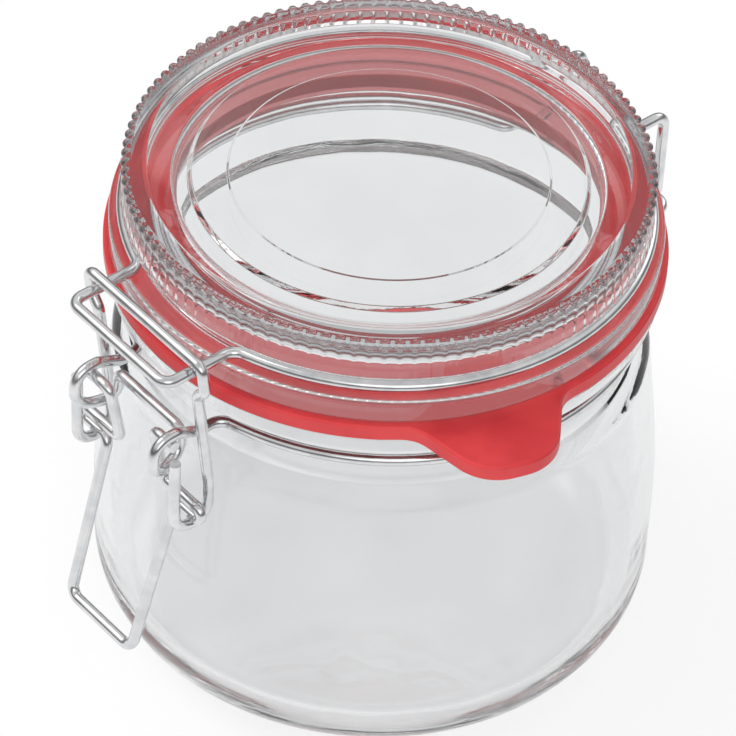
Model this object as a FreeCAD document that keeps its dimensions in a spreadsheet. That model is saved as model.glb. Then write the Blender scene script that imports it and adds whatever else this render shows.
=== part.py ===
import FreeCAD, Part
import math
import os
import Sketcher
from FreeCAD import Vector

# Clip-top jar: a glass jar and lid, a rubber seal and a wire closure, in mm.
# +Z is up, the jar's axis is Z and its foot stands on z = 0. The clip is on the
# -Y side and the hinge on the +Y side.

SIZES = (
    # the glass jar
    ("body_radius", 49.1),          # widest radius of the jar
    ("body_straight", 30.0),        # height where the upright wall ends
    ("base_corner", 13.0),          # rounding between the wall and the base
    ("wall", 3.2),
    ("base_thickness", 4.6),
    ("shoulder_set_in", 3.2),       # the shoulder's radius is this much smaller
    ("shoulder_height", 58.5),
    ("shoulder_bend", 150.0),       # curve of the wall up to the shoulder
    ("shoulder_turn", 4.5),         # curve of the shoulder into the neck
    ("neck_set_in", 5.8),           # the neck's radius is this much smaller
    ("neck_rise", 4.1),             # from the shoulder to the foot of the neck
    ("neck_length", 9.2),
    ("neck_wall", 2.5),
    ("rim_stand", 3.5),             # how far the rim stands out from the neck
    ("rim_flare", 1.2),             # height of the slope under the rim
    ("rim_height", 3.5),
    ("rim_round", 0.9),
    # the rubber seal
    ("seal_thickness", 3.0),
    ("seal_lip", 0.9),              # how far it shows inside the mouth
    ("seal_overhang", 0.7),         # how far it shows outside the rim
    ("tab_reach", 11.6),            # how far the pull tab stands out
    ("tab_width", 27.8),            # at the middle of the ring, where it starts
    ("tab_tip_width", 13.0),        # between its corners, before they are rounded
    ("tab_root", 5.5),              # rounding where the tab leaves the ring
    ("tab_corner", 8.5),
    ("tab_turn", -18.2),            # direction of the tab in degrees from +X
    # the glass lid
    ("plug_clearance", 0.3),        # between the lid's collar and the seal
    ("plug_depth", 3.3),            # how far the collar reaches below the flange
    ("plug_wall", 1.6),
    ("flange_set_in", 0.2),         # the flange is this much inside the rim
    ("flange_thickness", 4.9),
    ("groove_depth", 1.5),          # groove for the wire, in from the crown
    ("groove_gap", 0.3),            # room above and below the wire
    ("crown_set_in", 2.0),          # the crown is this much inside the flange
    ("crown_height", 10.8),         # from the flange to the top
    ("crown_width", 4.2),           # width of the crown's top
    ("crown_slope", 4.2),           # the crown's inner wall leans out by this much
    ("pane_depth", 3.4),            # from the crown's top down to the pane
    ("pane_border", 3.2),           # from the crown to the step
    ("pane_thickness", 3.6),
    ("step_slope", 0.4),
    ("step_rise", 0.9),             # the middle of the pane is this much thicker
    ("hollow_round", 3.0),          # rounding at the top of the hollow
    ("glass_round", 0.8),
    # the wires of the lid and the neck
    ("wire", 2.0),
    ("running_gap", 0.1),           # clearance of a wire that turns in another
    ("groove_clearance", 0.2),      # wire rings against the glass
    ("ring_bend", 3.0),             # bends between a ring and its straight legs
    ("stay_bend", 1.6),             # tight bends of the clip
    ("nose_half", 12.5),
    ("nose_lead", 5.6),             # the nose reaches this far past the link
    ("nose_bend", 2.2),
    ("hinge_stand", 4.0),           # from the rim to the hinge bar
    ("hinge_half", 10.5),           # where the lid wire hooks round the bar
    ("hinge_spread", 5.0),          # the bar is this much longer each way
    ("hinge_bend", 2.4),
    ("hook_tail", 1.8),
    ("band_rise", 6.8),             # from the foot of the neck to the band
    ("eye_stand", 6.8),             # from the rim to the lever's pivot
    ("eye_rise", 2.0),              # top of the eyes above the band
    ("eye_lead", 3.6),              # level run of the band before it rises
    ("eye_crest", 1.0),             # the rise ends this far inside the pivot
    ("eye_bend", 3.7),
    ("eye_outer_half", 10.6),
    ("eye_gap", 0.2),               # between the two wires of an eye
    ("eye_bar_rise", 1.6),
    # the lever
    ("crank_gap", 0.5),             # from the eye to the crank
    ("crank_drop", 13.5),           # from the lever's pivot to the link's pivot
    ("crank_offset", 2.2),          # the link's pivot lies this far inside it
    ("crank_overhang", 2.6),        # how far the crank passes the link's leg
    ("pair_gap", 0.5),              # between the doubled wires
    ("stub_overhang", 0.8),         # how far the lever's ends pass the eyes
    ("handle_top_half", 9.25),
    ("handle_low_half", 8.4),
    ("handle_drop", 45.7),          # from the lever's pivot to the handle's end
    ("handle_clear", 10.9),         # from the jar's side to the handle's end
    ("handle_bend", 2.2),
    # the link
    ("link_gap", 0.26),             # link's bar above the nose
    ("link_stand", 4.2),            # from the rim to the link's bar
    ("link_side_gap", 0.5),         # between the nose and the link
    ("link_leg_gap", 0.6),          # between the eyes and the link
    ("bow_gap", 0.25),              # between the doubled wires and the link's bow
    ("link_lean", 0.6),             # the legs start this far inside the bar
    ("link_knee_drop", 5.4),        # from the bar to the knee under the nose
    ("link_knee_rise", 2.1),
    ("link_tail_rise", 12.0),       # free end above the link's pivot
)


class Size:
    """A length that knows its number and how the sheet works it out."""

    def __init__(self, number, text):
        self.number = number
        self.text = text

    @staticmethod
    def of(other):
        if isinstance(other, Size):
            return other
        return Size(float(other), repr(float(other)))

    def __add__(self, other):
        other = Size.of(other)
        return Size(self.number + other.number, "(%s + %s)" % (self.text, other.text))

    def __sub__(self, other):
        other = Size.of(other)
        return Size(self.number - other.number, "(%s - %s)" % (self.text, other.text))

    def __mul__(self, other):
        other = Size.of(other)
        return Size(self.number * other.number, "(%s * %s)" % (self.text, other.text))


class Sizes:
    """The spreadsheet's named cells as Size values, and what is set from them."""

    def __init__(self, sheet):
        self.sheet = sheet

    def __getattr__(self, name):
        return Size(float(self.sheet.get(name)), "%s.%s" % (self.sheet.Name, name))


doc = FreeCAD.newDocument("ClipTopJar")
sheet = doc.addObject("Spreadsheet::Sheet", "Sizes")
for row, (alias, value) in enumerate(SIZES, start=1):
    sheet.set("A%d" % row, alias)
    sheet.set("B%d" % row, str(value))
    sheet.setAlias("B%d" % row, alias)
doc.recompute()
size = Sizes(sheet)
ZERO = Size.of(0.0)

# sizes that follow from the ones above
size.shoulder_radius = size.body_radius - size.shoulder_set_in
size.neck_radius = size.body_radius - size.neck_set_in
size.neck_low = size.shoulder_height + size.neck_rise
size.neck_high = size.neck_low + size.neck_length
size.mouth_radius = size.neck_radius - size.neck_wall
size.rim_radius = size.neck_radius + size.rim_stand
size.rim_low = size.neck_high + size.rim_flare
size.rim_top = size.rim_low + size.rim_height
size.seal_inner = size.mouth_radius - size.seal_lip
size.seal_outer = size.rim_radius + size.seal_overhang
size.plug_radius = size.seal_inner - size.plug_clearance
size.seat = size.rim_top + size.seal_thickness
size.flange_radius = size.rim_radius - size.flange_set_in
size.flange_top = size.seat + size.flange_thickness
size.crown_radius = size.flange_radius - size.crown_set_in
size.crown_top = size.flange_top + size.crown_height
size.crown_foot = size.crown_radius - size.crown_width - size.crown_slope
size.step_radius = size.crown_foot - size.pane_border
size.band_height = size.neck_low + size.band_rise
size.hinge_reach = size.rim_radius + size.hinge_stand
size.hinge_bar_half = size.hinge_half + size.hinge_spread
size.eye_reach = size.rim_radius + size.eye_stand
size.eye_inner_half = size.eye_outer_half - size.wire - size.eye_gap
size.crank_half = size.eye_inner_half - size.wire - size.crank_gap
size.stub_half = size.eye_outer_half + size.stub_overhang
size.handle_reach = size.body_radius + size.handle_clear
size.pair_half = (size.wire + size.pair_gap) * 0.5
size.link_reach = size.rim_radius + size.link_stand
size.link_bar_half = size.nose_half + size.wire + size.link_side_gap
size.link_leg_half = size.eye_outer_half + size.wire + size.link_leg_gap
size.link_bow = size.pair_half + size.wire + size.bow_gap
size.crank_end_half = size.link_leg_half + size.crank_overhang
size.nose_reach = size.link_reach + size.nose_lead


def origin_plane(body, role):
    """The body's own origin plane with this role."""
    for feature in body.Origin.OriginFeatures:
        if feature.Role == role:
            return feature
    raise ValueError(role)


def new_body(label):
    body = doc.addObject("PartDesign::Body", label)
    body.Label = label
    return body


def new_sketch(body, name, role):
    sketch = body.newObject("Sketcher::SketchObject", name)
    sketch.AttachmentSupport = [(origin_plane(body, role), "")]
    sketch.MapMode = "FlatFace"
    doc.recompute()
    return sketch


def bend_centre(start, end, radius, side):
    """Centre of an arc between two points; side 1 puts it to the left of start-end."""
    middle = (start + end) * 0.5
    chord = end - start
    half = chord.Length / 2.0
    rise = math.sqrt(max(radius * radius - half * half, 0.0))
    normal = Vector(-chord.y, chord.x, 0.0)
    normal.normalize()
    return middle + normal * (rise * side)


def pin_vertex(sketch, geometry, end, point):
    """Fix one end of a line or arc to sheet sizes across and up."""
    for kind, coordinate in (("DistanceX", point[0]), ("DistanceY", point[1])):
        if abs(coordinate.number) < 1e-9:
            axis = -2 if kind == "DistanceX" else -1
            sketch.addConstraint(Sketcher.Constraint("PointOnObject", geometry, end, axis))
            continue
        index = sketch.addConstraint(
            Sketcher.Constraint(kind, -1, 1, geometry, end, coordinate.number)
        )
        sketch.setExpression("Constraints[%d]" % index, coordinate.text)


def draw_profile(sketch, corners):
    """Closed outline of (across, up, bend) corners.

    bend is None for a straight run to the next corner, or (radius, side) for an arc.
    """
    points = [Vector(across.number, up.number, 0.0) for across, up, bend in corners]
    edges = []
    for index, (across, up, bend) in enumerate(corners):
        start = points[index]
        end = points[(index + 1) % len(points)]
        if bend is None:
            edges.append(sketch.addGeometry(Part.LineSegment(start, end), False))
            continue
        radius, side = bend
        centre = bend_centre(start, end, radius.number, side)
        first = math.atan2(start.y - centre.y, start.x - centre.x)
        last = math.atan2(end.y - centre.y, end.x - centre.x)
        if side < 0:
            first, last = last, first
        circle = Part.Circle(centre, Vector(0, 0, 1), radius.number)
        edges.append(sketch.addGeometry(Part.ArcOfCircle(circle, first, last), False))
    for index, (across, up, bend) in enumerate(corners):
        here = edges[index]
        start_end = 1 if bend is None or bend[1] > 0 else 2
        before = corners[index - 1][2]
        before_end = 2 if before is None or before[1] > 0 else 1
        sketch.addConstraint(
            Sketcher.Constraint("Coincident", edges[index - 1], before_end, here, start_end)
        )
        pin_vertex(sketch, here, start_end, (across, up))
        if bend is not None:
            fixed = sketch.addConstraint(Sketcher.Constraint("Radius", here, bend[0].number))
            sketch.setExpression("Constraints[%d]" % fixed, bend[0].text)


def turn_solid(body, sketch, name):
    """Revolve a profile once round the jar's axis."""
    turned = body.newObject("PartDesign::Revolution", name)
    turned.Profile = sketch
    turned.ReferenceAxis = (sketch, ["V_Axis"])
    turned.Angle = 360.0
    sketch.Visibility = False
    doc.recompute()
    return turned


def rim_edges(feature, rings):
    """Names of the circular edges at these (radius, height) pairs."""
    names = []
    for index, edge in enumerate(feature.Shape.Edges, start=1):
        if not isinstance(edge.Curve, Part.Circle):
            continue
        for radius, height in rings:
            near = abs(edge.Curve.Radius - radius.number) < 1e-4
            level = abs(edge.Curve.Center.z - height.number) < 1e-4
            if near and level:
                names.append("Edge%d" % index)
    return names


def round_edges(body, feature, name, names, radius):
    rounded = body.newObject("PartDesign::Fillet", name)
    rounded.Base = (feature, names)
    rounded.setExpression("Radius", radius.text)
    body.Tip = rounded
    doc.recompute()
    return rounded


def build_jar():
    body = new_body("jar_body")
    sketch = new_sketch(body, "jar_profile", "XZ_Plane")
    inner_radius = size.body_radius - size.wall
    inner_corner = size.base_corner - size.wall
    inner_shoulder = size.shoulder_height - size.wall * 0.5
    floor = size.base_thickness
    corners = (
        (ZERO, ZERO, None),
        (size.body_radius - size.base_corner, ZERO, (size.base_corner, 1)),
        (size.body_radius, size.base_corner, None),
        (size.body_radius, size.body_straight, (size.shoulder_bend, 1)),
        (size.shoulder_radius, size.shoulder_height, (size.shoulder_turn, 1)),
        (size.neck_radius, size.neck_low, None),
        (size.neck_radius, size.neck_high, None),
        (size.rim_radius - 0.6, size.rim_low, None),
        (size.rim_radius, size.rim_low + 0.6, None),
        (size.rim_radius, size.rim_top, None),
        (size.mouth_radius, size.rim_top, None),
        (size.mouth_radius, size.neck_low, (size.shoulder_turn * 2.0, -1)),
        (size.shoulder_radius - size.wall, inner_shoulder, (size.shoulder_bend, -1)),
        (inner_radius, size.body_straight, None),
        (inner_radius, floor + inner_corner, (inner_corner, -1)),
        (inner_radius - inner_corner, floor, None),
        (ZERO, floor, None),
    )
    draw_profile(sketch, corners)
    turned = turn_solid(body, sketch, "jar_turned")
    rings = (
        (size.rim_radius, size.rim_top),
        (size.mouth_radius, size.rim_top),
    )
    round_edges(body, turned, "jar_rim_round", rim_edges(turned, rings), size.rim_round)
    return body


def build_lid():
    body = new_body("lid")
    sketch = new_sketch(body, "lid_profile", "XZ_Plane")
    seat = size.seat
    flange_top = size.flange_top
    groove_top = flange_top + size.wire + size.groove_gap * 2.0
    groove_radius = size.crown_radius - size.groove_depth
    pane = size.crown_top - size.pane_depth
    pane_under = pane - size.pane_thickness
    plug_low = seat - size.plug_depth
    plug_inner = size.plug_radius - size.plug_wall
    corners = (
        (ZERO, pane_under, None),
        (plug_inner, pane_under, None),
        (plug_inner, plug_low, None),
        (size.plug_radius - 0.4, plug_low, None),
        (size.plug_radius, seat, None),
        (size.flange_radius, seat, None),
        (size.flange_radius, flange_top, None),
        (groove_radius, flange_top, None),
        (groove_radius, groove_top, None),
        (size.crown_radius, groove_top, None),
        (size.crown_radius, size.crown_top - 0.6, None),
        (size.crown_radius - 0.6, size.crown_top, None),
        (size.crown_radius - size.crown_width, size.crown_top, None),
        (size.crown_foot, pane, None),
        (size.step_radius, pane, None),
        (size.step_radius - size.step_slope, pane + size.step_rise, None),
        (ZERO, pane + size.step_rise, None),
    )
    draw_profile(sketch, corners)
    turned = turn_solid(body, sketch, "lid_turned")
    rings = (
        (size.flange_radius, seat),
        (size.flange_radius, flange_top),
        (size.crown_radius - size.crown_width, size.crown_top),
        (size.crown_foot, pane),
        (plug_inner, plug_low),
    )
    rounded = round_edges(body, turned, "lid_round", rim_edges(turned, rings), size.glass_round)
    corner = rim_edges(rounded, ((plug_inner, pane_under),))
    round_edges(body, rounded, "hollow_corner", corner, size.hollow_round)
    return body


def tab_edges(feature, tip, at_tip):
    """Names of the tab's upright edges, at its tip or where it meets the ring."""
    names = []
    for index, edge in enumerate(feature.Shape.Edges, start=1):
        bounds = edge.BoundBox
        upright = bounds.ZLength > size.seal_thickness.number * 0.9
        beside = abs(bounds.YMin) > 1e-4
        ends_tab = abs(bounds.XMin - tip.number) < 1e-4
        if upright and beside and ends_tab == at_tip:
            names.append("Edge%d" % index)
    return names


def build_seal():
    body = new_body("seal")
    ring = new_sketch(body, "seal_ring", "XY_Plane")
    for radius in (size.seal_inner, size.seal_outer):
        circle = Part.Circle(Vector(0, 0, 0), Vector(0, 0, 1), radius.number)
        index = ring.addGeometry(circle, False)
        ring.addConstraint(Sketcher.Constraint("Coincident", index, 3, -1, 1))
        fixed = ring.addConstraint(Sketcher.Constraint("Radius", index, radius.number))
        ring.setExpression("Constraints[%d]" % fixed, radius.text)
    flat = body.newObject("PartDesign::Pad", "seal_flat")
    flat.Profile = ring
    flat.setExpression("Length", size.seal_thickness.text)
    ring.Visibility = False
    doc.recompute()
    tab = new_sketch(body, "seal_tab", "XY_Plane")
    half = size.tab_width * 0.5
    tip_half = size.tab_tip_width * 0.5
    root = size.seal_outer - (size.seal_outer - size.seal_inner) * 0.5
    tip = size.seal_outer + size.tab_reach
    corners = (
        (root, ZERO - half, None),
        (tip, ZERO - tip_half, None),
        (tip, tip_half, None),
        (root, half, None),
    )
    draw_profile(tab, corners)
    tongue = body.newObject("PartDesign::Pad", "seal_tongue")
    tongue.Profile = tab
    tongue.setExpression("Length", size.seal_thickness.text)
    tab.Visibility = False
    doc.recompute()
    flared = round_edges(body, tongue, "seal_tab_root", tab_edges(tongue, tip, False), size.tab_root)
    round_edges(body, flared, "seal_tab_tip", tab_edges(flared, tip, True), size.tab_corner)
    body.setExpression("Placement.Base.z", size.rim_top.text)
    body.Placement.Rotation = FreeCAD.Rotation(Vector(0, 0, 1), size.tab_turn.number)
    return body


def at(across, out, up):
    """A point from three sizes; out is towards the hinge."""
    return Vector(across.number, out.number, up.number)


def smooth_run(points, bends):
    """Edges of straight runs between points, joined by tangent arcs of these radii."""
    edges = []
    here = points[0]
    for index in range(1, len(points) - 1):
        corner = points[index]
        back = points[index - 1] - corner
        ahead = points[index + 1] - corner
        back.normalize()
        ahead.normalize()
        open_angle = back.getAngle(ahead)
        radius = bends[index - 1].number
        reach = radius / math.tan(open_angle / 2.0)
        start = corner + back * reach
        end = corner + ahead * reach
        inward = back + ahead
        inward.normalize()
        middle = corner + inward * (radius / math.sin(open_angle / 2.0) - radius)
        if (start - here).Length > 1e-6:
            edges.append(Part.LineSegment(here, start).toShape())
        edges.append(Part.Arc(start, middle, end).toShape())
        here = end
    if (points[-1] - here).Length > 1e-6:
        edges.append(Part.LineSegment(here, points[-1]).toShape())
    return edges


def ring_run(radius, height, bend, first_half, last_half):
    """Edges from a leg at the clip, round the +X side, to a leg at the hinge.

    The legs run along Y at first_half and last_half from the middle. Also gives the
    Y of the legs' inner ends.
    """
    def leg(half, sign):
        away = radius + bend
        centre_x = half + bend
        centre_y = sign * math.sqrt(away * away - centre_x * centre_x)
        centre = Vector(centre_x, centre_y, height)
        on_leg = Vector(half, centre_y, height)
        on_ring = Vector(centre_x, centre_y, 0.0) * (radius / away) + Vector(0, 0, height)
        toward = (on_leg - centre) + (on_ring - centre)
        toward.normalize()
        return on_leg, centre + toward * bend, on_ring

    leg_front, mid_front, ring_front = leg(first_half, -1.0)
    leg_back, mid_back, ring_back = leg(last_half, 1.0)
    edges = [
        Part.Arc(leg_front, mid_front, ring_front).toShape(),
        Part.Arc(ring_front, Vector(radius, 0.0, height), ring_back).toShape(),
        Part.Arc(ring_back, mid_back, leg_back).toShape(),
    ]
    return edges, leg_front, leg_back


def wire_solid(edges):
    """The full wire: the section carried along the +X half, and its mirror image."""
    path = Part.Wire(edges)
    first = path.OrderedEdges[0]
    start = first.valueAt(first.FirstParameter)
    along = first.tangentAt(first.FirstParameter)
    radius = size.wire.number / 2.0
    section = Part.Face(Part.Wire(Part.makeCircle(radius, start, along)))
    half = path.makePipe(section)
    expected = section.Area * path.Length
    if abs(half.Volume - expected) > expected * 0.002:
        raise ValueError("a wire's volume is %.3f, not %.3f" % (half.Volume, expected))
    mirrored = half.mirror(Vector(0, 0, 0), Vector(1, 0, 0))
    return half.fuse(mirrored).removeSplitter()


def add_wire(label, edges):
    """A part of bent wire. Its path leaves one plane, so Part's own functions make it."""
    wire_part = doc.addObject("Part::Feature", label)
    wire_part.Label = label
    wire_part.Shape = wire_solid(edges)
    wire_part.Placement = FreeCAD.Placement()
    return wire_part


def nose_height():
    return size.flange_top + size.groove_gap + size.wire * 0.5


def hinge_height():
    return size.band_height


def lever_pivot():
    """Across the jar's axis, the lever turns about this (out, up) line."""
    eye_top = size.band_height + size.eye_rise
    return ZERO - size.eye_reach, eye_top - size.wire - size.running_gap


def link_pivot():
    out, up = lever_pivot()
    return out + size.crank_offset, up - size.crank_drop


def build_lid_wire():
    height = nose_height()
    groove_radius = size.crown_radius - size.groove_depth
    ring = groove_radius + size.groove_clearance + size.wire * 0.5
    round_part, leg_front, leg_back = ring_run(
        ring.number, height.number, size.ring_bend.number,
        size.nose_half.number, size.hinge_half.number,
    )
    nose = [
        at(ZERO, ZERO - size.nose_reach, height),
        at(size.nose_half, ZERO - size.nose_reach, height),
        leg_front,
    ]
    hook = size.wire + size.running_gap
    outer = size.hinge_reach + hook
    inner = size.hinge_reach - hook
    low = hinge_height() - hook
    back = [
        leg_back,
        at(size.hinge_half, outer, height),
        at(size.hinge_half, outer, low),
        at(size.hinge_half, inner, low),
        at(size.hinge_half, inner, hinge_height() + size.hook_tail),
    ]
    edges = smooth_run(nose, [size.nose_bend])
    edges += round_part
    edges += smooth_run(back, [size.hinge_bend, hook, hook])
    return add_wire("lid_wire", edges)


def build_band():
    height = size.band_height
    ring = size.neck_radius + size.groove_clearance + size.wire * 0.5
    round_part, leg_front, leg_back = ring_run(
        ring.number, height.number, size.ring_bend.number,
        size.eye_outer_half.number, size.hinge_bar_half.number,
    )
    top = height + size.eye_rise
    centre = top - size.eye_bend
    lead = ZERO - (ring + size.eye_lead)
    crest = ZERO - (size.eye_reach - size.eye_crest)
    near = ZERO - (size.eye_reach - size.eye_bend)
    far = ZERO - (size.eye_reach + size.eye_bend)
    low = centre - size.eye_bend
    eye = [
        at(ZERO, near, centre + size.eye_bar_rise),
        at(size.eye_inner_half, near, centre + size.eye_bar_rise),
        at(size.eye_inner_half, near, low),
        at(size.eye_outer_half, far, low),
        at(size.eye_outer_half, far, top),
        at(size.eye_outer_half, crest, top),
        at(size.eye_outer_half, lead, height),
        leg_front,
    ]
    turn = size.eye_bend - 0.5
    bends = [size.stay_bend, turn, turn, turn, size.stay_bend, size.ring_bend]
    edges = smooth_run(eye, bends)
    edges += round_part
    back = [
        leg_back,
        at(size.hinge_bar_half, size.hinge_reach, height),
        at(ZERO, size.hinge_reach, height),
    ]
    edges += smooth_run(back, [size.hinge_bend])
    return add_wire("neck_band", edges)


def build_lever():
    out, up = lever_pivot()
    pair_out, pair_up = link_pivot()
    points = [
        at(size.stub_half, out, up),
        at(size.crank_half, out, up),
        at(size.crank_half, pair_out, pair_up + size.pair_half),
        at(size.crank_end_half, pair_out, pair_up + size.pair_half),
        at(size.crank_end_half, pair_out, pair_up - size.pair_half),
        at(size.handle_top_half, pair_out, pair_up - size.pair_half),
        at(size.handle_low_half, ZERO - size.handle_reach, up - size.handle_drop),
        at(ZERO, ZERO - size.handle_reach, up - size.handle_drop),
    ]
    bends = [
        size.stay_bend, size.stay_bend, size.pair_half, size.pair_half,
        size.stay_bend, size.handle_bend,
    ]
    edges = smooth_run(list(reversed(points)), list(reversed(bends)))
    return add_wire("lever", edges)


def build_link():
    out, up = link_pivot()
    bar = nose_height() + size.wire + size.link_gap
    reach = ZERO - size.link_reach
    inner = out + size.link_bow
    outer = out - size.link_bow
    inner_top = reach + size.link_lean
    knee = bar - size.link_knee_drop
    points = [
        at(ZERO, reach, bar),
        at(size.link_bar_half, reach, bar),
        at(size.link_bar_half, inner_top, knee),
        at(size.link_leg_half, inner_top, knee - size.link_knee_rise),
        at(size.link_leg_half, inner, up + size.link_bow),
        at(size.link_leg_half, inner, up - size.link_bow),
        at(size.link_leg_half, outer, up - size.link_bow),
        at(size.link_leg_half, outer, up + size.link_tail_rise),
    ]
    bends = [size.stay_bend] * 4 + [size.link_bow, size.link_bow]
    edges = smooth_run(points, bends)
    return add_wire("link", edges)


parts = [
    build_jar(),
    build_lid(),
    build_seal(),
    build_lid_wire(),
    build_band(),
    build_lever(),
    build_link(),
]
doc.recompute()

for item in doc.Objects:
    if "Invalid" in item.State or "Error" in item.State:
        raise RuntimeError("%s did not build: %s" % (item.Label, item.State))
for part in parts:
    if part.Shape.isNull() or not part.Shape.isValid():
        raise RuntimeError("%s has no valid shape" % part.Label)
    if len(part.Shape.Solids) != 1:
        raise RuntimeError("%s is %d solids" % (part.Label, len(part.Shape.Solids)))

os.makedirs("parts", exist_ok=True)
for part in parts:
    part.Shape.exportStep(os.path.join("parts", part.Label + ".step"))
    bounds = part.Shape.BoundBox
    print("%-10s volume %9.1f mm3, z %6.2f to %6.2f" % (
        part.Label, part.Shape.Volume, bounds.ZMin, bounds.ZMax))
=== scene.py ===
import math
import bpy
import bmesh
from mathutils import Matrix, Vector


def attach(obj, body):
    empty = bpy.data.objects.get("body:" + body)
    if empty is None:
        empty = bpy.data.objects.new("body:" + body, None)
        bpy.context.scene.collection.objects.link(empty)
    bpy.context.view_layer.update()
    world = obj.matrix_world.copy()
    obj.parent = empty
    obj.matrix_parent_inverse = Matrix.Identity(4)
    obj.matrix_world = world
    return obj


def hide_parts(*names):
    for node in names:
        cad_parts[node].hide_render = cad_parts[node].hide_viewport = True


# A clip-top jar: the glass jar, its beaded glass lid, the red rubber seal between
# them, and the bright wires of the hinge and the clip. Shapes are given in
# millimetres, and MM turns them into metres.

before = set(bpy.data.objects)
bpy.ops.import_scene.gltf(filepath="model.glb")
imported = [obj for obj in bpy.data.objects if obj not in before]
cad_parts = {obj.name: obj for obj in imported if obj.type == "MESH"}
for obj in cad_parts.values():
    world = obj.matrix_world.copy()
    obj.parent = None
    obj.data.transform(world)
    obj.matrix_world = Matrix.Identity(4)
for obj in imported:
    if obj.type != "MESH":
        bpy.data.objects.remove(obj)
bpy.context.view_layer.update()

MM = 0.001
BEND_SHARE = 0.49       # a bend takes at most this much of the runs beside it

# the glass jar: radii, then heights
BODY, SHOULDER, NECK, MOUTH, RIM = 49.1, 45.9, 43.3, 40.8, 46.8
WALL = 3.2
FLOOR = 4.6
BODY_TOP, INNER_BODY_TOP = 33.0, 31.0
SHOULDER_TOP, INNER_SHOULDER_TOP = 58.5, 56.9
NECK_LOW, NECK_HIGH = 62.6, 71.8
RIM_UNDER, RIM_LOW, RIM_TOP = 72.8, 73.6, 76.5
FILM = 0.05             # film of air between the glass and the rubber
JAR_AROUND = 288
JAR_STEP = 2.5          # longest step along the jar's outline

# the glass lid: radii
HOLLOW = 38.0           # the hollow under the lid
COLLAR_FOOT, COLLAR = 39.3, 39.6
FLANGE = 46.6
GROOVE = 43.1
CROWN, CROWN_INNER, CROWN_FOOT = 44.6, 40.4, 36.2
STEP_FOOT, STEP_EDGE = 33.5, 32.9
RING_FOOT, RING_EDGE = 27.0, 26.7

# the glass lid: heights
COLLAR_LOW = 76.2
SEAT = 79.5
FLANGE_TOP = 84.4
GROOVE_TOP = 87.0
HOLLOW_TOP, HOLLOW_MIDDLE = 88.2, 88.6
BORDER_TOP, STEP_TOP, RING_TOP = 91.8, 92.7, 92.9
CROWN_TOP = 95.2

# the beads on the lid's crown
BEADS = 115
BEAD = 0.88             # radius
BEAD_STAND = 0.45       # how far the plain glass lies behind the tops of the beads
BEAD_RING = (43.72, 94.02)          # radius and height of their middles
BEAD_STEPS = 10         # divisions of the lid for each bead
BEADED_RADII = (42.2, 50.0)
BEADED_ABOVE = 92.9
FINE_STEP, PLAIN_STEP = 0.24, 9.0

# the rubber seal, whose inner edge hugs the lid's collar
SEAL_INNER, SEAL_OUTER = 39.55, 47.5
SEAL_ROUND = 0.5
TAB_REACH = 11.6
TAB_HALF, TAB_TIP_HALF = 13.9, 6.5
TAB_ROOT, TAB_CORNER = 5.5, 8.5
TAB_TURN = math.radians(-18.2)
TAB_SPREAD = math.radians(7.0)      # from the tab's root to the plain ring
TAB_STEP = 1.2
RING_STEPS = 150

# where colour is painted on the lid's glass, as (lowest, highest)
# painted refraction: the red of the rubber seen through the collar, painted on the clear glass
PAINTED_REFRACTION_RADII = (HOLLOW - 0.8, HOLLOW + 0.4)
PAINTED_REFRACTION_HEIGHTS = (COLLAR_LOW + 0.3, 87.0)
COLLAR_PAINTED_REFRACTION = (0.40, 0.030, 0.032, 1.0)
# painted shade: the beaded crown is tinted grey for the shade it shows
PAINTED_SHADE_RADII = (41.0, 46.0)
PAINTED_SHADE_HEIGHTS = (92.0, 96.0)
CROWN_PAINTED_SHADE = (0.42, 0.43, 0.44, 1.0)


# ---------------------------------------------------------------- turned shapes

def rounded(corners):
    """Points along a turned outline. Each corner is (radius, height, bend, steps)."""
    points = []
    count = len(corners)
    for index in range(count):
        across, up, bend, steps = corners[index]
        corner = Vector((across, up))
        if bend == 0.0 or index in (0, count - 1):
            points.append(corner)
            continue
        before = Vector(corners[index - 1][:2]) - corner
        after = Vector(corners[index + 1][:2]) - corner
        room = min(before.length, after.length) * BEND_SHARE
        before.normalize()
        after.normalize()
        half = before.angle(after) / 2.0
        reach = min(bend / math.tan(half), room)
        radius = reach * math.tan(half)
        middle = corner + (before + after).normalized() * (radius / math.sin(half))
        first = corner + before * reach - middle
        last = corner + after * reach - middle
        sweep = first.angle_signed(last)
        for step in range(steps + 1):
            points.append(middle + Matrix.Rotation(-sweep * step / steps, 2) @ first)
    return points


def divided(points, longest):
    """The same outline with its runs divided. longest(start, end) is a run's step."""
    result = [points[0]]
    for point in points[1:]:
        start = result[-1]
        parts = max(1, math.ceil((point - start).length / longest(start, point)))
        for part in range(1, parts + 1):
            result.append(start.lerp(point, part / parts))
    return result


def finished_mesh(name, shape):
    """Turns the faces outwards and smooths them."""
    bmesh.ops.recalc_face_normals(shape, faces=shape.faces)
    for face in shape.faces:
        face.smooth = True
    mesh = bpy.data.meshes.new(name)
    shape.to_mesh(mesh)
    shape.free()
    return mesh


def turned_mesh(name, outline, around):
    """A closed mesh turned from an outline that starts and ends on the axis."""
    shape = bmesh.new()
    rings = []
    for point in outline:
        across, up = point.x * MM, point.y * MM
        if across < 1e-9:
            rings.append([shape.verts.new((0.0, 0.0, up))])
            continue
        ring = []
        for step in range(around):
            angle = 2.0 * math.pi * step / around
            place = (across * math.cos(angle), across * math.sin(angle), up)
            ring.append(shape.verts.new(place))
        rings.append(ring)
    for low, high in zip(rings, rings[1:]):
        for step in range(around):
            following = (step + 1) % around
            corners = [low[step % len(low)], low[following % len(low)],
                       high[following % len(high)], high[step % len(high)]]
            unique = [v for k, v in enumerate(corners) if v not in corners[:k]]
            shape.faces.new(unique)
    return finished_mesh(name, shape)


def new_piece(name, mesh):
    piece = bpy.data.objects.new(name, mesh)
    bpy.context.scene.collection.objects.link(piece)
    return piece


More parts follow.
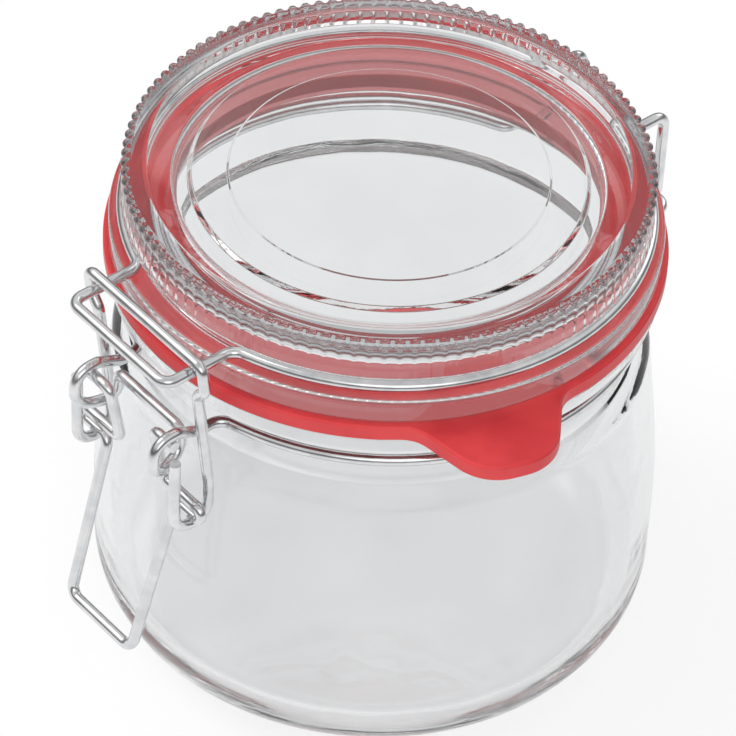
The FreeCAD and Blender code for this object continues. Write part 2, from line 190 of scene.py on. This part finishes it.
def settle(piece):
    """Turns a piece's modifiers into plain mesh."""
    bpy.context.view_layer.update()
    graph = bpy.context.evaluated_depsgraph_get()
    mesh = bpy.data.meshes.new_from_object(piece.evaluated_get(graph))
    piece.modifiers.clear()
    piece.data = mesh


def even_shading(piece):
    """Weighs the shading by the size of the faces, so that flat runs look flat."""
    piece.modifiers.new("even_normals", "WEIGHTED_NORMAL")
    settle(piece)


# ------------------------------------------------------------------- materials

def group_socket(tree, name, kind, output, default=None):
    socket = tree.interface.new_socket(
        name=name, in_out="OUTPUT" if output else "INPUT", socket_type=kind)
    if default is not None:
        socket.default_value = default
    return socket


def make_ripple_group():
    """Slow waves and fine pits: a height for bumps and a mask for tints."""
    tree = bpy.data.node_groups.new("ripple", "ShaderNodeTree")
    group_socket(tree, "Vector", "NodeSocketVector", False)
    group_socket(tree, "Wave Scale", "NodeSocketFloat", False, 40.0)
    group_socket(tree, "Fine Scale", "NodeSocketFloat", False, 900.0)
    group_socket(tree, "Fine Share", "NodeSocketFloat", False, 0.1)
    group_socket(tree, "Height", "NodeSocketFloat", True)
    group_socket(tree, "Mask", "NodeSocketFloat", True)
    nodes, links = tree.nodes, tree.links
    inputs = nodes.new("NodeGroupInput")
    outputs = nodes.new("NodeGroupOutput")
    wave = nodes.new("ShaderNodeTexNoise")
    wave.inputs["Detail"].default_value = 2.0
    fine = nodes.new("ShaderNodeTexNoise")
    fine.inputs["Detail"].default_value = 3.0
    blend = nodes.new("ShaderNodeMix")
    links.new(inputs.outputs["Vector"], wave.inputs["Vector"])
    links.new(inputs.outputs["Wave Scale"], wave.inputs["Scale"])
    links.new(inputs.outputs["Vector"], fine.inputs["Vector"])
    links.new(inputs.outputs["Fine Scale"], fine.inputs["Scale"])
    links.new(inputs.outputs["Fine Share"], blend.inputs["Factor"])
    links.new(wave.outputs["Fac"], blend.inputs["A"])
    links.new(fine.outputs["Fac"], blend.inputs["B"])
    links.new(blend.outputs["Result"], outputs.inputs["Height"])
    links.new(wave.outputs["Fac"], outputs.inputs["Mask"])
    return tree


RIPPLE = make_ripple_group()


def base_material(name, wave, fine, share):
    """A Principled material with the ripple group placed in it."""
    material = bpy.data.materials.new(name)
    material.use_nodes = True
    nodes, links = material.node_tree.nodes, material.node_tree.links
    shader = nodes["Principled BSDF"]
    place = nodes.new("ShaderNodeTexCoord")
    ripple = nodes.new("ShaderNodeGroup")
    ripple.node_tree = RIPPLE
    ripple.inputs["Wave Scale"].default_value = wave
    ripple.inputs["Fine Scale"].default_value = fine
    ripple.inputs["Fine Share"].default_value = share
    links.new(place.outputs["Object"], ripple.inputs["Vector"])
    return material, nodes, links, shader, ripple


def tint(nodes, links, ripple, socket, dark, light):
    """Lets a colour drift slowly between two values over the surface."""
    ramp = nodes.new("ShaderNodeValToRGB")
    ramp.color_ramp.elements[0].position = 0.35
    ramp.color_ramp.elements[0].color = (*dark, 1.0)
    ramp.color_ramp.elements[1].position = 0.65
    ramp.color_ramp.elements[1].color = (*light, 1.0)
    links.new(ripple.outputs["Mask"], ramp.inputs["Fac"])
    links.new(ramp.outputs["Color"], socket)


def spread(nodes, links, ripple, socket, low, high):
    """Lets a number drift slowly between two values over the surface."""
    scale = nodes.new("ShaderNodeMapRange")
    scale.inputs["From Min"].default_value = 0.3
    scale.inputs["From Max"].default_value = 0.7
    scale.inputs["To Min"].default_value = low
    scale.inputs["To Max"].default_value = high
    links.new(ripple.outputs["Mask"], scale.inputs["Value"])
    links.new(scale.outputs["Result"], socket)


def bump(nodes, links, ripple, shader, distance, strength):
    """Raises the ripple's waves and pits as fine relief. The distance is in metres."""
    relief = nodes.new("ShaderNodeBump")
    relief.inputs["Distance"].default_value = distance
    relief.inputs["Strength"].default_value = strength
    links.new(ripple.outputs["Height"], relief.inputs["Height"])
    links.new(relief.outputs["Normal"], shader.inputs["Normal"])


def make_glass(name, wave, distance):
    material, nodes, links, shader, ripple = base_material(name, wave, fine=500.0, share=0.02)
    shader.inputs["Transmission Weight"].default_value = 1.0
    shader.inputs["IOR"].default_value = 1.5
    colour = shader.inputs["Base Color"]
    tint(nodes, links, ripple, colour, (0.93, 0.94, 0.94), (0.97, 0.975, 0.975))
    spread(nodes, links, ripple, shader.inputs["Roughness"], low=0.0, high=0.012)
    bump(nodes, links, ripple, shader, distance, strength=1.0)
    return material


def make_steel():
    material, nodes, links, shader, ripple = base_material(
        "bright_wire_steel", wave=260.0, fine=2600.0, share=0.35)
    shader.inputs["Metallic"].default_value = 1.0
    colour = shader.inputs["Base Color"]
    tint(nodes, links, ripple, colour, (0.70, 0.71, 0.72), (0.86, 0.86, 0.86))
    spread(nodes, links, ripple, shader.inputs["Roughness"], low=0.10, high=0.22)
    bump(nodes, links, ripple, shader, distance=0.00002, strength=0.6)
    return material


def make_rubber():
    material, nodes, links, shader, ripple = base_material(
        "red_seal_rubber", wave=120.0, fine=3000.0, share=0.5)
    colour = shader.inputs["Base Color"]
    tint(nodes, links, ripple, colour, (0.54, 0.026, 0.032), (0.64, 0.042, 0.046))
    spread(nodes, links, ripple, shader.inputs["Roughness"], low=0.38, high=0.5)
    shader.inputs["Subsurface Weight"].default_value = 0.12
    shader.inputs["Subsurface Scale"].default_value = 0.002
    bump(nodes, links, ripple, shader, distance=0.00005, strength=0.5)
    return material


def paint_refraction_and_shade(material):
    """Paints the rubber's red, as seen through the glass, on the collar's inner wall as a
    painted refraction, and paints shade on the crown as a grey tint.
    """
    nodes, links = material.node_tree.nodes, material.node_tree.links
    shader = nodes["Principled BSDF"]
    place = nodes.new("ShaderNodeTexCoord")
    apart = nodes.new("ShaderNodeSeparateXYZ")
    links.new(place.outputs["Object"], apart.inputs["Vector"])
    flat = nodes.new("ShaderNodeCombineXYZ")
    links.new(apart.outputs["X"], flat.inputs["X"])
    links.new(apart.outputs["Y"], flat.inputs["Y"])
    radius = nodes.new("ShaderNodeVectorMath")
    radius.operation = "LENGTH"
    links.new(flat.outputs["Vector"], radius.inputs[0])

    def between(value, limits):
        """1 between two sizes in millimetres, and 0 outside them."""
        low, high = limits
        middle = (low + high) / 2.0
        node = nodes.new("ShaderNodeMath")
        node.operation = "COMPARE"
        node.inputs[1].default_value = middle * MM
        node.inputs[2].default_value = (high - low) / 2.0 * MM
        links.new(value, node.inputs[0])
        return node.outputs["Value"]

    def times(first, second):
        node = nodes.new("ShaderNodeMath")
        node.operation = "MULTIPLY"
        links.new(first, node.inputs[0])
        links.new(second, node.inputs[1])
        return node.outputs["Value"]

    # painted refraction: the collar's inner wall takes the rubber's red
    wall = times(
        between(radius.outputs["Value"], PAINTED_REFRACTION_RADII),
        between(apart.outputs["Z"], PAINTED_REFRACTION_HEIGHTS),
    )
    refraction_paint = nodes.new("ShaderNodeMix")
    refraction_paint.data_type = "RGBA"
    links.new(wall, refraction_paint.inputs["Factor"])
    links.new(shader.inputs["Base Color"].links[0].from_socket, refraction_paint.inputs["A"])
    refraction_paint.inputs["B"].default_value = COLLAR_PAINTED_REFRACTION
    # painted shade: the beaded crown is greyed
    crown = times(
        between(radius.outputs["Value"], PAINTED_SHADE_RADII),
        between(apart.outputs["Z"], PAINTED_SHADE_HEIGHTS),
    )
    darken = nodes.new("ShaderNodeMix")
    darken.data_type = "RGBA"
    links.new(crown, darken.inputs["Factor"])
    links.new(refraction_paint.outputs["Result"], darken.inputs["A"])
    darken.inputs["B"].default_value = CROWN_PAINTED_SHADE
    links.new(darken.outputs["Result"], shader.inputs["Base Color"])


jar_glass = make_glass("jar_glass", wave=45.0, distance=0.00030)
lid_glass = make_glass("lid_glass", wave=45.0, distance=0.00006)
# paints the rubber's red seen through the collar, and painted shade on the crown
paint_refraction_and_shade(lid_glass)
steel = make_steel()
rubber = make_rubber()


# ----------------------------------------------------------------- the glass jar

jar_outline = rounded((
    (0.0, 0.0, 0.0, 0),
    (BODY, 0.0, 13.0, 20),
    (BODY, BODY_TOP, 150.0, 14),
    (SHOULDER, SHOULDER_TOP, 4.5, 8),
    (NECK, NECK_LOW, 0.8, 4),
    (NECK, NECK_HIGH, 0.5, 3),
    (RIM - 0.3, RIM_UNDER, 0.5, 3),
    (RIM, RIM_LOW, 0.5, 3),
    (RIM, RIM_TOP - FILM, 0.9, 5),
    (MOUTH, RIM_TOP - FILM, 0.9, 5),
    (MOUTH, NECK_LOW, 9.0, 8),
    (SHOULDER - WALL, INNER_SHOULDER_TOP, 20.0, 8),
    (BODY - WALL, INNER_BODY_TOP, 150.0, 14),
    (BODY - WALL, FLOOR, 9.8, 18),
    (0.0, FLOOR, 0.0, 0),
))
jar_points = divided(jar_outline, lambda start, end: JAR_STEP)
jar = new_piece("glass_jar", turned_mesh("glass_jar", jar_points, around=JAR_AROUND))
jar.data.materials.append(jar_glass)
even_shading(jar)
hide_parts("jar_body")
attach(jar, "jar")


# ------------------------------------------------------------------ the glass lid

lid_outline = rounded((
    (0.0, HOLLOW_MIDDLE, 0.0, 0),
    (HOLLOW, HOLLOW_TOP, 3.0, 7),
    (HOLLOW + 0.2, COLLAR_LOW, 0.7, 3),
    (COLLAR_FOOT, COLLAR_LOW, 0.4, 2),
    (COLLAR, SEAT + FILM, 0.3, 2),
    (FLANGE, SEAT + FILM, 0.8, 3),
    (FLANGE, FLANGE_TOP, 0.8, 3),
    (GROOVE, FLANGE_TOP, 0.6, 2),
    (GROOVE, GROOVE_TOP, 0.4, 3),
    (CROWN, GROOVE_TOP, 0.4, 3),
    (CROWN - BEAD_STAND, CROWN_TOP - BEAD_STAND, 1.4, 8),
    (CROWN_INNER, CROWN_TOP - BEAD_STAND, 0.8, 4),
    (CROWN_FOOT, BORDER_TOP, 1.0, 5),
    (STEP_FOOT, BORDER_TOP, 0.3, 3),
    (STEP_EDGE, STEP_TOP, 0.3, 3),
    (RING_FOOT, STEP_TOP, 0.2, 2),
    (RING_EDGE, RING_TOP, 0.2, 2),
    (0.0, RING_TOP, 0.0, 0),
))


def beaded_rim_tree():
    """Raises a ring of round beads from the surface that it is given."""
    tree = bpy.data.node_groups.new("beaded_rim", "GeometryNodeTree")
    group_socket(tree, "Geometry", "NodeSocketGeometry", False)
    group_socket(tree, "Bead Count", "NodeSocketFloat", False, 100.0)
    group_socket(tree, "Bead Radius", "NodeSocketFloat", False, 0.001)
    group_socket(tree, "Ring Radius", "NodeSocketFloat", False, 0.04)
    group_socket(tree, "Ring Height", "NodeSocketFloat", False, 0.09)
    group_socket(tree, "Glass", "NodeSocketMaterial", False)
    group_socket(tree, "Geometry", "NodeSocketGeometry", True)
    nodes, links = tree.nodes, tree.links
    inputs = nodes.new("NodeGroupInput")
    outputs = nodes.new("NodeGroupOutput")

    def maths(operation, first, second=None):
        node = nodes.new("ShaderNodeMath")
        node.operation = operation
        for socket, value in zip(node.inputs, (first, second)):
            if isinstance(value, (int, float)):
                socket.default_value = value
            elif value is not None:
                links.new(value, socket)
        return node.outputs["Value"]

    def vectors(operation, first, second, result):
        node = nodes.new("ShaderNodeVectorMath")
        node.operation = operation
        links.new(first, node.inputs[0])
        if second is not None:
            links.new(second, node.inputs["Scale"] if operation == "SCALE" else node.inputs[1])
        return node.outputs[result]

    position = nodes.new("GeometryNodeInputPosition").outputs["Position"]
    normal = nodes.new("GeometryNodeInputNormal").outputs["Normal"]
    apart = nodes.new("ShaderNodeSeparateXYZ")
    links.new(position, apart.inputs["Vector"])
    angle = maths("ARCTAN2", apart.outputs["Y"], apart.outputs["X"])
    pitch = maths("DIVIDE", 2.0 * math.pi, inputs.outputs["Bead Count"])
    nearest = maths("MULTIPLY", maths("ROUND", maths("DIVIDE", angle, pitch)), pitch)
    centre = nodes.new("ShaderNodeCombineXYZ")
    for operation, side in (("COSINE", "X"), ("SINE", "Y")):
        share = maths("MULTIPLY", maths(operation, nearest), inputs.outputs["Ring Radius"])
        links.new(share, centre.inputs[side])
    links.new(inputs.outputs["Ring Height"], centre.inputs["Z"])
    away = vectors("SUBTRACT", position, centre.outputs["Vector"], "Vector")
    distance = vectors("LENGTH", away, None, "Value")
    along = vectors("DOT_PRODUCT", away, normal, "Value")
    radius = inputs.outputs["Bead Radius"]
    inside = maths("LESS_THAN", distance, radius)
    reach = maths("MULTIPLY", radius, radius)
    depth = maths("SUBTRACT", reach, maths("MULTIPLY", distance, distance))
    square = maths("ADD", maths("MULTIPLY", along, along), depth)
    root = maths("SQRT", maths("MAXIMUM", square, 0.0))
    rise = maths("MULTIPLY", maths("SUBTRACT", root, along), inside)
    move = nodes.new("GeometryNodeSetPosition")
    links.new(inputs.outputs["Geometry"], move.inputs["Geometry"])
    links.new(vectors("SCALE", normal, rise, "Vector"), move.inputs["Offset"])
    realize = nodes.new("GeometryNodeRealizeInstances")
    finish = nodes.new("GeometryNodeSetMaterial")
    links.new(move.outputs["Geometry"], realize.inputs["Geometry"])
    links.new(realize.outputs["Geometry"], finish.inputs["Geometry"])
    links.new(inputs.outputs["Glass"], finish.inputs["Material"])
    links.new(finish.outputs["Geometry"], outputs.inputs["Geometry"])
    return tree


def run_tree(piece, tree, values):
    """Adds the tree as a modifier with its named inputs set, and keeps the result."""
    modifier = piece.modifiers.new(tree.name, "NODES")
    modifier.node_group = tree
    for item in tree.interface.items_tree:
        if item.item_type == "SOCKET" and item.in_out == "INPUT" and item.name in values:
            modifier[item.identifier] = values[item.name]
    settle(piece)


def lid_step(start, end):
    """The longest step of a run of the lid's outline, fine where the beads rise."""
    inner, outer = BEADED_RADII
    beaded = inner < (start.x + end.x) / 2.0 < outer and min(start.y, end.y) > BEADED_ABOVE
    return FINE_STEP if beaded else PLAIN_STEP


lid_points = divided(lid_outline, lid_step)
lid = new_piece("beaded_lid", turned_mesh("beaded_lid", lid_points, around=BEADS * BEAD_STEPS))
run_tree(lid, beaded_rim_tree(), {
    "Bead Count": float(BEADS),
    "Bead Radius": BEAD * MM,
    "Ring Radius": BEAD_RING[0] * MM,
    "Ring Height": BEAD_RING[1] * MM,
    "Glass": lid_glass,
})
even_shading(lid)
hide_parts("lid")
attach(lid, "lid")
lid.visible_shadow = False      # its shadow would darken the rubber below it


# ---------------------------------------------------------------- the rubber seal

def on_ring(angle):
    return Vector((SEAL_OUTER * math.cos(angle), SEAL_OUTER * math.sin(angle)))


def seal_plan():
    """Outer edge of the seal from above, with the tab towards +X."""
    start = Vector(((SEAL_INNER + SEAL_OUTER) / 2.0, TAB_HALF))
    tip = Vector((SEAL_OUTER + TAB_REACH, TAB_TIP_HALF))
    side = tip - start
    inward = start.dot(side) / side.length_squared
    beyond = (start.length_squared - SEAL_OUTER ** 2) / side.length_squared
    root = start + side * (math.sqrt(inward ** 2 - beyond) - inward)
    leave = math.atan2(root.y, root.x) + TAB_SPREAD
    tab = rounded((
        (*on_ring(leave), 0.0, 0),
        (*root, TAB_ROOT, 6),
        (*tip, TAB_CORNER, 12),
        (tip.x, -tip.y, TAB_CORNER, 12),
        (root.x, -root.y, TAB_ROOT, 6),
        (*on_ring(-leave), 0.0, 0),
    ))
    sweep = 2.0 * math.pi - 2.0 * leave
    ring = [on_ring(-leave - sweep * step / RING_STEPS) for step in range(1, RING_STEPS)]
    return divided(tab, lambda start, end: TAB_STEP) + ring


def seal_mesh():
    """The flat ring and its tab, with every edge rounded."""
    plan = seal_plan()
    count = len(plan)
    turn = Matrix.Rotation(TAB_TURN, 2)
    inwards = []
    for index, point in enumerate(plan):
        along = plan[(index + 1) % count] - plan[index - 1]
        inwards.append(Vector((along.y, -along.x)).normalized())
        if inwards[-1].dot(point) > 0.0:
            inwards[-1].negate()
    bends = [math.radians(90.0 * step / 4.0) for step in range(5)]
    section = [(SEAL_ROUND * (1.0 - math.sin(bend)), SEAL_ROUND * (1.0 - math.cos(bend)))
               for bend in bends]
    levels = [(inset, RIM_TOP + rise) for inset, rise in section]
    levels += [(inset, SEAT - rise) for inset, rise in reversed(section)]
    shape = bmesh.new()
    loops = []
    for inset, height in levels:
        edge = [turn @ (point + inward * inset) for point, inward in zip(plan, inwards)]
        loops.append([shape.verts.new((p.x * MM, p.y * MM, height * MM)) for p in edge])
    for inset, height in reversed(levels):
        edge = [turn @ (point.normalized() * (SEAL_INNER + inset)) for point in plan]
        loops.append([shape.verts.new((p.x * MM, p.y * MM, height * MM)) for p in edge])
    for low, high in zip(loops, loops[1:] + loops[:1]):
        for step in range(count):
            after = (step + 1) % count
            shape.faces.new((low[step], low[after], high[after], high[step]))
    return finished_mesh("rubber_seal", shape)


seal = new_piece("rubber_seal", seal_mesh())
seal.data.materials.append(rubber)
even_shading(seal)
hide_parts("seal")
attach(seal, "lid")


# --------------------------------------------------------------------- the wires

for wire in ("lid_wire", "neck_band", "lever", "link"):
    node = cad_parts[wire]
    node.data.materials.clear()
    node.data.materials.append(steel)


# ------------------------------------------------------------- floor and light

FLOOR_SIZE, FLOOR_DROP = 6.0, 0.0002
FLOOR_GLOW = 0.8            # share of the floor's own glow where it is seen
GLOW_NEAR = (0.16, (0.86, 0.86, 0.87, 1.0))     # metres from the jar, colour
GLOW_FAR = (0.6, (0.16, 0.16, 0.17, 1.0))
ROOM_LOW = (0.0, (0.17, 0.17, 0.175, 1.0))      # share of the height, colour
ROOM_HIGH = (0.95, (0.60, 0.60, 0.61, 1.0))
ROOM_STEPS = ((0.22, 0.20), (0.42, 0.50), (0.62, 0.80))


def set_ends(ramp, low, high):
    for element, (position, colour) in zip(ramp.elements, (low, high)):
        element.position = position
        element.color = colour


def seen_directly(nodes, links):
    """1 where the camera, a reflection or a refraction looks, 0 for the light itself."""
    path = nodes.new("ShaderNodeLightPath")
    total = path.outputs["Is Camera Ray"]
    for kind in ("Is Glossy Ray", "Is Transmission Ray"):
        add = nodes.new("ShaderNodeMath")
        add.operation = "MAXIMUM"
        links.new(total, add.inputs[0])
        links.new(path.outputs[kind], add.inputs[1])
        total = add.outputs["Value"]
    return total, path


def make_floor():
    material = bpy.data.materials.new("pale_floor")
    material.use_nodes = True
    nodes, links = material.node_tree.nodes, material.node_tree.links
    shader = nodes["Principled BSDF"]
    shader.inputs["Base Color"].default_value = (0.93, 0.93, 0.93, 1.0)
    shader.inputs["Roughness"].default_value = 0.8
    glow = nodes.new("ShaderNodeEmission")
    place = nodes.new("ShaderNodeTexCoord")
    away = nodes.new("ShaderNodeVectorMath")
    away.operation = "LENGTH"
    links.new(place.outputs["Object"], away.inputs[0])
    fade = nodes.new("ShaderNodeValToRGB")
    set_ends(fade.color_ramp, GLOW_NEAR, GLOW_FAR)
    links.new(away.outputs["Value"], fade.inputs["Fac"])
    seen, path = seen_directly(nodes, links)
    whiten = nodes.new("ShaderNodeMix")
    whiten.data_type = "RGBA"
    links.new(path.outputs["Is Camera Ray"], whiten.inputs["Factor"])
    links.new(fade.outputs["Color"], whiten.inputs["A"])
    whiten.inputs["B"].default_value = (1.0, 1.0, 1.0, 1.0)
    links.new(whiten.outputs["Result"], glow.inputs["Color"])
    share = nodes.new("ShaderNodeMath")
    share.operation = "MULTIPLY"
    share.inputs[1].default_value = FLOOR_GLOW
    links.new(seen, share.inputs[0])
    blend = nodes.new("ShaderNodeMixShader")
    links.new(share.outputs["Value"], blend.inputs["Fac"])
    links.new(shader.outputs["BSDF"], blend.inputs[1])
    links.new(glow.outputs["Emission"], blend.inputs[2])
    links.new(blend.outputs["Shader"], nodes["Material Output"].inputs["Surface"])
    bpy.ops.mesh.primitive_plane_add(size=FLOOR_SIZE, location=(0.0, 0.0, -FLOOR_DROP))
    floor = bpy.context.object
    floor.name = "floor"
    floor.data.materials.append(material)


# direction, half angles of the full and the fading part in degrees, strength
SOFT_LIGHTS = (
    ((-0.5, -0.3, 0.9), 10.0, 24.0, 1.4),
    ((0.8, -0.5, 0.6), 10.0, 26.0, 0.9),
    ((-0.2, 0.9, 0.45), 8.0, 20.0, 1.0),
)


def add_soft_light(nodes, links, place, total, direction, narrow, wide, strength):
    """Adds a round light with a soft edge to the room's colour."""
    towards = nodes.new("ShaderNodeVectorMath")
    towards.operation = "DOT_PRODUCT"
    towards.inputs[1].default_value = Vector(direction).normalized()
    links.new(place.outputs["Generated"], towards.inputs[0])
    fade = nodes.new("ShaderNodeMapRange")
    fade.interpolation_type = "SMOOTHSTEP"
    fade.inputs["From Min"].default_value = math.cos(math.radians(wide))
    fade.inputs["From Max"].default_value = math.cos(math.radians(narrow))
    fade.inputs["To Max"].default_value = strength
    links.new(towards.outputs["Value"], fade.inputs["Value"])
    add = nodes.new("ShaderNodeVectorMath")
    add.operation = "ADD"
    links.new(total, add.inputs[0])
    links.new(fade.outputs["Result"], add.inputs[1])
    return add.outputs["Vector"]


def make_world():
    world = bpy.data.worlds.new("studio")
    bpy.context.scene.world = world
    world.use_nodes = True
    nodes, links = world.node_tree.nodes, world.node_tree.links
    room = nodes["Background"]
    white = nodes.new("ShaderNodeBackground")
    white.inputs["Color"].default_value = (1.0, 1.0, 1.0, 1.0)
    place = nodes.new("ShaderNodeTexCoord")
    apart = nodes.new("ShaderNodeSeparateXYZ")
    links.new(place.outputs["Generated"], apart.inputs["Vector"])
    height = nodes.new("ShaderNodeValToRGB")
    ramp = height.color_ramp
    set_ends(ramp, ROOM_LOW, ROOM_HIGH)
    for position, level in ROOM_STEPS:
        step = ramp.elements.new(position)
        step.color = (level, level, level, 1.0)
    links.new(apart.outputs["Z"], height.inputs["Fac"])
    total = height.outputs["Color"]
    for direction, narrow, wide, strength in SOFT_LIGHTS:
        total = add_soft_light(nodes, links, place, total, direction, narrow, wide, strength)
    links.new(total, room.inputs["Color"])
    path = nodes.new("ShaderNodeLightPath")
    blend = nodes.new("ShaderNodeMixShader")
    links.new(path.outputs["Is Camera Ray"], blend.inputs["Fac"])
    links.new(room.outputs["Background"], blend.inputs[1])
    links.new(white.outputs["Background"], blend.inputs[2])
    links.new(blend.outputs["Shader"], nodes["World Output"].inputs["Surface"])


LAMP_AIM = Vector((0.0, 0.0, 0.05))


def add_lamp(name, place, size, power):
    data = bpy.data.lights.new(name, "AREA")
    data.shape = "RECTANGLE"
    data.size, data.size_y = size
    data.energy = power
    lamp = bpy.data.objects.new(name, data)
    lamp.location = place
    lamp.visible_glossy = False
    lamp.visible_transmission = False
    lamp.rotation_euler = (LAMP_AIM - Vector(place)).to_track_quat("-Z", "Y").to_euler()
    bpy.context.scene.collection.objects.link(lamp)


make_floor()
make_world()
add_lamp("key_lamp", (-0.6, -0.5, 0.7), size=(0.5, 0.5), power=4.5)
add_lamp("fill_lamp", (0.8, -0.5, 0.5), size=(0.7, 0.7), power=3.5)


# -------------------------------------------------------------------- the camera

AZIMUTH = math.radians(48.5)
ELEVATION = math.radians(43.0)
ROLL = math.radians(2.94)
DISTANCE = 0.8
SIDESTEP, AIM_HEIGHT = -0.0019, 0.04815
SENSOR, LENS = 36.0, 227.00543478

right = Vector((math.cos(AZIMUTH), math.sin(AZIMUTH), 0.0))
back = Vector((
    math.sin(AZIMUTH) * math.cos(ELEVATION),
    -math.cos(AZIMUTH) * math.cos(ELEVATION),
    math.sin(ELEVATION),
))
up = back.cross(right)
turned_right = right * math.cos(ROLL) + up * math.sin(ROLL)
turned_up = up * math.cos(ROLL) - right * math.sin(ROLL)
target = right * SIDESTEP + Vector((0.0, 0.0, AIM_HEIGHT))

camera_data = bpy.data.cameras.new("camera")
camera_data.sensor_width = SENSOR
camera_data.lens = LENS
camera = bpy.data.objects.new("camera", camera_data)
axes = Matrix((turned_right, turned_up, back)).transposed()
camera.matrix_world = Matrix.Translation(target + back * DISTANCE) @ axes.to_4x4()
bpy.context.scene.collection.objects.link(camera)
bpy.context.scene.camera = camera

bpy.context.scene.view_settings.view_transform = "Standard"
bpy.context.scene.cycles.max_bounces = 32
bpy.context.scene.cycles.transmission_bounces = 32
bpy.context.scene.cycles.glossy_bounces = 16
